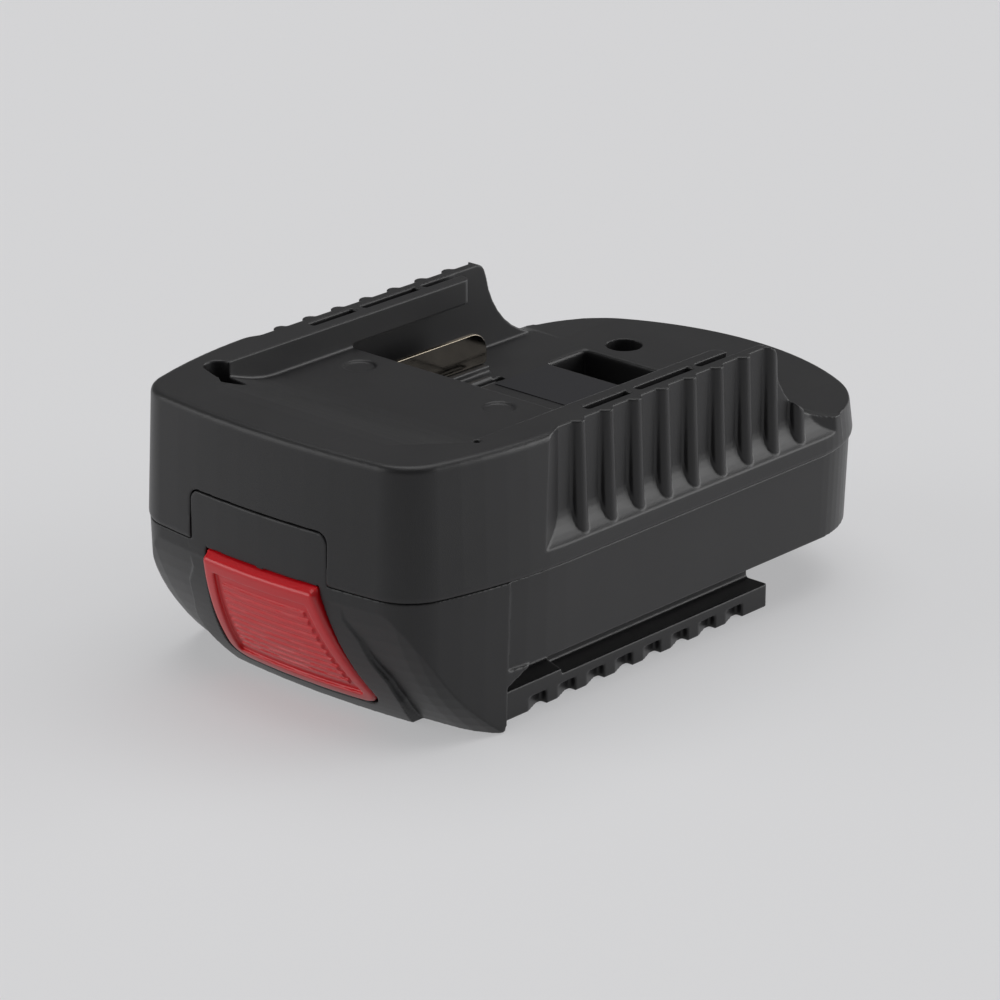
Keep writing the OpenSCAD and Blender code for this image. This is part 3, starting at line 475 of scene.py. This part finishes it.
# %% [markdown]
# ## Pieces with eased edges
#
# Stamped contacts, the board and the small moulded pieces have flat faces, so a plain bevel suits them: first
# the loose triangles of each flat face are dissolved into one face, then every sharp edge is eased by a width
# that fits the way it is made. Stamped metal gets the least, a dipped fuse or a sleeve the most. Weighted
# normals keep the flat faces flat, so that a plated blade mirrors its surroundings without a false bulge.

# %% Contacts, board and inner mouldings
EASED = {
    "plus_blade": 0.14, "minus_blade": 0.14, "thermistor_blade": 0.14, "data_blade": 0.14,
    "tool_contact_plus": 0.08, "tool_contact_minus": 0.08, "tool_contact_thermistor": 0.08,
    "tool_contact_data": 0.08, "circuit_board": 0.08, "board_fuse": 0.3, "board_chip": 0.15,
    "board_capacitor": 0.4, "terminal_block": 0.25, "tool_contact_carrier": 0.25, "latch_hook": 0.25,
    "latch_retainer": 0.25, "blank_label": 0.04,
}
SHARP = math.radians(32)
FLAT = math.radians(0.5)


def eased_copy(node, width):
    piece = merged_copy(node)
    on_mesh(piece, lambda: bpy.ops.mesh.dissolve_limited(angle_limit=FLAT), outward)
    apply_modifier(piece, "BEVEL", width=width, segments=3, limit_method="ANGLE", angle_limit=SHARP)
    select_only(piece)
    bpy.ops.object.shade_smooth_by_angle(angle=SHARP)
    apply_modifier(piece, "WEIGHTED_NORMAL", keep_sharp=True, weight=100)
    return piece


for node, width in EASED.items():
    finish_piece(eased_copy(node, width * MM), "eased_" + node, node)

# %% [markdown]
# ## Springs
#
# A coil spring is round wire wound on a mandrel. Here a small circle, the wire's section, is turned and raised
# at once by the screw modifier, which is the same motion as the winding. Both ends are closed.

# %% Springs
SPRING_X, SPRING_Y = 7.0 * MM, -38.4 * MM
SPRING_FOOT, SPRING_TOP = 15.35 * MM, 25.65 * MM
SPRING_R, SPRING_WIRE, SPRING_TURNS = 2.3 * MM, 0.3 * MM, 6
COIL_STEPS = 32


def wound(section, radius, pitch, turns, steps, place):
    """A closed helix with the given section, standing on the z axis of place."""
    bpy.ops.object.select_all(action="DESELECT")
    bpy.ops.mesh.primitive_circle_add(vertices=section[0], radius=section[1], location=(radius, 0, 0),
                                      rotation=(math.pi / 2, 0, 0))
    piece = bpy.context.object
    bpy.ops.object.transform_apply(location=True, rotation=True, scale=True)
    apply_modifier(piece, "SCREW", screw_offset=pitch, iterations=turns, steps=steps, render_steps=steps)
    on_mesh(piece, lambda: bpy.ops.mesh.remove_doubles(threshold=0.0005 * MM),
            lambda: bpy.ops.mesh.fill_holes(sides=0), outward)
    piece.location = place
    return piece


for node, side in (("latch_spring_left", -1), ("latch_spring_right", 1)):
    pitch = (SPRING_TOP - SPRING_FOOT) / SPRING_TURNS
    place = (side * SPRING_X, SPRING_Y, SPRING_FOOT)
    spring = wound((14, SPRING_WIRE), SPRING_R, pitch, SPRING_TURNS, COIL_STEPS, place)
    select_only(spring)
    bpy.ops.object.shade_smooth_by_angle(angle=SHARP)
    finish_piece(spring, "wound_" + node, node)
    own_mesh(spring)

# %% [markdown]
# ## Wires
#
# Each power wire is a soft tube that hangs in easy bends from a blade's tail to a tool contact. A curve with a
# round bevel gives that at once: its corners are rounded by quadratic blends, and it is then turned into a mesh.

# %% Wires
WIRE_R = 1.2 * MM
BEND_STEPS = 10
WIRE_ROUTE = [(24.3, -24.1, 32.2), (24.3, -24.1, 28.1), (23.6, -22.1, 24), (23.6, -6, 23), (23.6, 12.1, 22),
              (22.6, 15.1, 19), (13, 16.1, 15), (13, 10.35, 15)]


def bends(corners, steps):
    corners = [Vector(c) * MM for c in corners]
    points = [corners[0]]
    for before, corner, after in zip(corners, corners[1:], corners[2:]):
        first, last = (before + corner) / 2, (corner + after) / 2
        for i in range(steps + 1):
            t = i / steps
            points.append((1 - t) ** 2 * first + 2 * t * (1 - t) * corner + t * t * last)
    return points + [corners[-1]]


for node, side in (("plus_wire", -1), ("minus_wire", 1)):
    curve = bpy.data.curves.new(node + "_path", "CURVE")
    curve.dimensions = "3D"
    curve.bevel_depth = WIRE_R
    curve.bevel_resolution = 6
    curve.use_fill_caps = True
    line = curve.splines.new("POLY")
    points = bends(WIRE_ROUTE, BEND_STEPS)
    line.points.add(len(points) - 1)
    for spot, p in zip(line.points, points):
        spot.co = (side * p.x, p.y, p.z, 1)
    wire = bpy.data.objects.new(node, curve)
    bpy.context.collection.objects.link(wire)
    select_only(wire)
    bpy.ops.object.convert(target="MESH")
    on_mesh(wire, lambda: bpy.ops.mesh.remove_doubles(threshold=MERGE), outward)
    bpy.ops.object.shade_smooth_by_angle(angle=math.radians(50))
    finish_piece(wire, "soft_" + node, node)

# %% [markdown]
# ## Screws
#
# All screws are pan heads with a cross recess. One is modelled at a radius of one millimetre: the head is a
# cylinder whose top edge is rolled over, the cross is cut out with two crossed bars, and the thread is a
# three-sided section that is wound round a thinner core. Copies are scaled and turned to their places.

# %% Screws
SCREWS = {
    "rear_housing_screws": (1.5, 9, 1, [(x, 47.9, 24) for x in (-15.9, 15.9)]),
    "front_housing_screws": (1.5, 18, -1, [(x, -33.8, 18) for x in (-20.8, 20.8)]),
    "retainer_screws": (1.1, 8, 1, [(x, -44.7, 28) for x in (-12.8, 12.8)]),
    "board_screws": (1.1, 7, 1, [(x, y, 20.6) for x in (-18.8, 18.8) for y in (-20.9, 8.9)]),
}
HEAD_R, HEAD_H, HEAD_ROLL = 1.95, 1.3, 0.55
CROSS_L, CROSS_W, CROSS_H = 2.0, 0.46, 1.6
CORE_R, CORE_INTO_HEAD = 0.78, 0.05
THREAD_PITCH, THREAD_R, THREAD_TIP, THREAD_FREE = 0.7, 0.26, 0.35, 1.2
FIRST_TURN, NEXT_TURN = 0.4, 0.7


def bar(size, place):
    bpy.ops.mesh.primitive_cube_add(size=1, location=place)
    made = bpy.context.object
    made.scale = size
    bpy.ops.object.transform_apply(location=True, rotation=True, scale=True)
    return made


def pan_head():
    bpy.ops.object.select_all(action="DESELECT")
    bpy.ops.mesh.primitive_cylinder_add(vertices=64, radius=HEAD_R, depth=HEAD_H, location=(0, 0, HEAD_H / 2))
    head = bpy.context.object
    bpy.ops.object.transform_apply(location=True, rotation=True, scale=True)
    for face in head.data.polygons:
        face.select = face.normal.z > 0.9
    bpy.ops.object.mode_set(mode="EDIT")
    bpy.ops.mesh.select_mode(type="FACE")
    bpy.ops.mesh.bevel(offset=HEAD_ROLL, segments=6, affect="EDGES")
    bpy.ops.object.mode_set(mode="OBJECT")
    for size in ((CROSS_L, CROSS_W, CROSS_H), (CROSS_W, CROSS_L, CROSS_H)):
        cutter = bar(size, (0, 0, HEAD_H))
        apply_modifier(head, "BOOLEAN", operation="DIFFERENCE", object=cutter, solver="EXACT")
        bpy.data.objects.remove(cutter)
    return head


def screw_of(length):
    head = pan_head()
    bpy.ops.object.select_all(action="DESELECT")
    bpy.ops.mesh.primitive_cylinder_add(vertices=48, radius=CORE_R, depth=length,
                                        location=(0, 0, CORE_INTO_HEAD - length / 2))
    core = bpy.context.object
    turns = int((length - THREAD_FREE) / THREAD_PITCH)
    thread = wound((3, THREAD_R), CORE_R, THREAD_PITCH, turns, COIL_STEPS, (0, 0, THREAD_TIP - length))
    for piece in (core, thread):
        select_only(piece)
        bpy.ops.object.transform_apply(location=True, rotation=True, scale=True)
    select_only(head, core, thread)
    bpy.ops.object.join()
    on_mesh(head, outward)
    bpy.ops.object.shade_smooth_by_angle(angle=SHARP)
    return head


for node, (radius, length, up, places) in SCREWS.items():
    model = screw_of(length / radius)
    for k, place in enumerate(places):
        screw = model.copy()
        screw.data = model.data.copy()
        bpy.context.collection.objects.link(screw)
        screw.scale = (radius * MM,) * 3
        screw.rotation_euler = (0 if up > 0 else math.pi, 0, FIRST_TURN + NEXT_TURN * k)
        screw.location = Vector(place) * MM
        finish_piece(screw, "%s_%d" % (node, k), node)
    bpy.data.objects.remove(model)

# %% [markdown]
# ## Nothing left plain
#
# Every solid of the frame should now be hidden behind its finished piece. If one still shows, it gets the
# finish of its slot, so that nothing stays grey.

# %% Solids that still show
shown = [name for name, node in nodes.items() if not node.hide_render]
for name in shown:
    nodes[name].data.materials.clear()
    nodes[name].data.materials.append(finishes[slot_of[name]])
print("solids that show as they are:", shown)

# %% [markdown]
# ## Floor and light
#
# A pale floor carries the part. On the real table some of the light comes through the floor, so its tone is
# made of two shares: one that the lamps light, which keeps the shadow, and a plain glow that the camera and
# shiny surfaces see. A broad steep light keeps the upper faces even. Two low, soft lights from the right rear
# and the left front draw the ribs, the button and the corners. The sky is dim.

# %% Floor and light
FLOOR_HALF = 3.0
FLOOR_TONE = 0.37
FLOOR_GLOW = 0.36
BLUER = 1.015
SKY = 0.15
LIGHTS = {
    "steep_light": (200, 78, 1.4, 60),
    "right_rear_light": (140, 5, 2.4, 60),
    "left_front_light": (320, 14, 1.05, 50),
}


def pale_floor():
    f = Finish("pale_floor")
    cloud = f.noise(3, 2.0)
    low, high = FLOOR_TONE * 0.995, FLOOR_TONE * 1.005
    tone = f.mix(cloud, (low, low, low * BLUER, 1), (high, high, high * BLUER, 1))
    rays = ("Is Camera Ray", "Is Glossy Ray", "Is Transmission Ray")
    seen = sum(f.node("LightPath", take=kind) for kind in rays)
    glow = f.mix(seen, grey(0.0), (FLOOR_GLOW, FLOOR_GLOW, FLOOR_GLOW * BLUER, 1))
    return f.surface(Base_Color=tone, Roughness=0.9, Specular_IOR_Level=0.1, Emission_Color=glow,
                     Emission_Strength=1.0)


bpy.ops.object.select_all(action="DESELECT")
bpy.ops.mesh.primitive_plane_add(size=2 * FLOOR_HALF, location=(0, 0, 0))
floor = bpy.context.object
floor.name = "floor"
floor.data.materials.append(pale_floor())


def sun(name, azimuth, height, strength, spread):
    turn = (math.pi / 2 - math.radians(height), 0, math.radians(azimuth))
    bpy.ops.object.light_add(type="SUN", rotation=turn)
    lamp = bpy.context.object
    lamp.name = name
    lamp.data.energy = strength
    lamp.data.angle = math.radians(spread)


for name, settings in LIGHTS.items():
    sun(name, *settings)

world = bpy.data.worlds.new("studio_sky")
bpy.context.scene.world = world
world.use_nodes = True
sky = world.node_tree.nodes["Background"]
sky.inputs["Color"].default_value = (1, 1, 1, 1)
sky.inputs["Strength"].default_value = SKY
print("floor and lights ready")
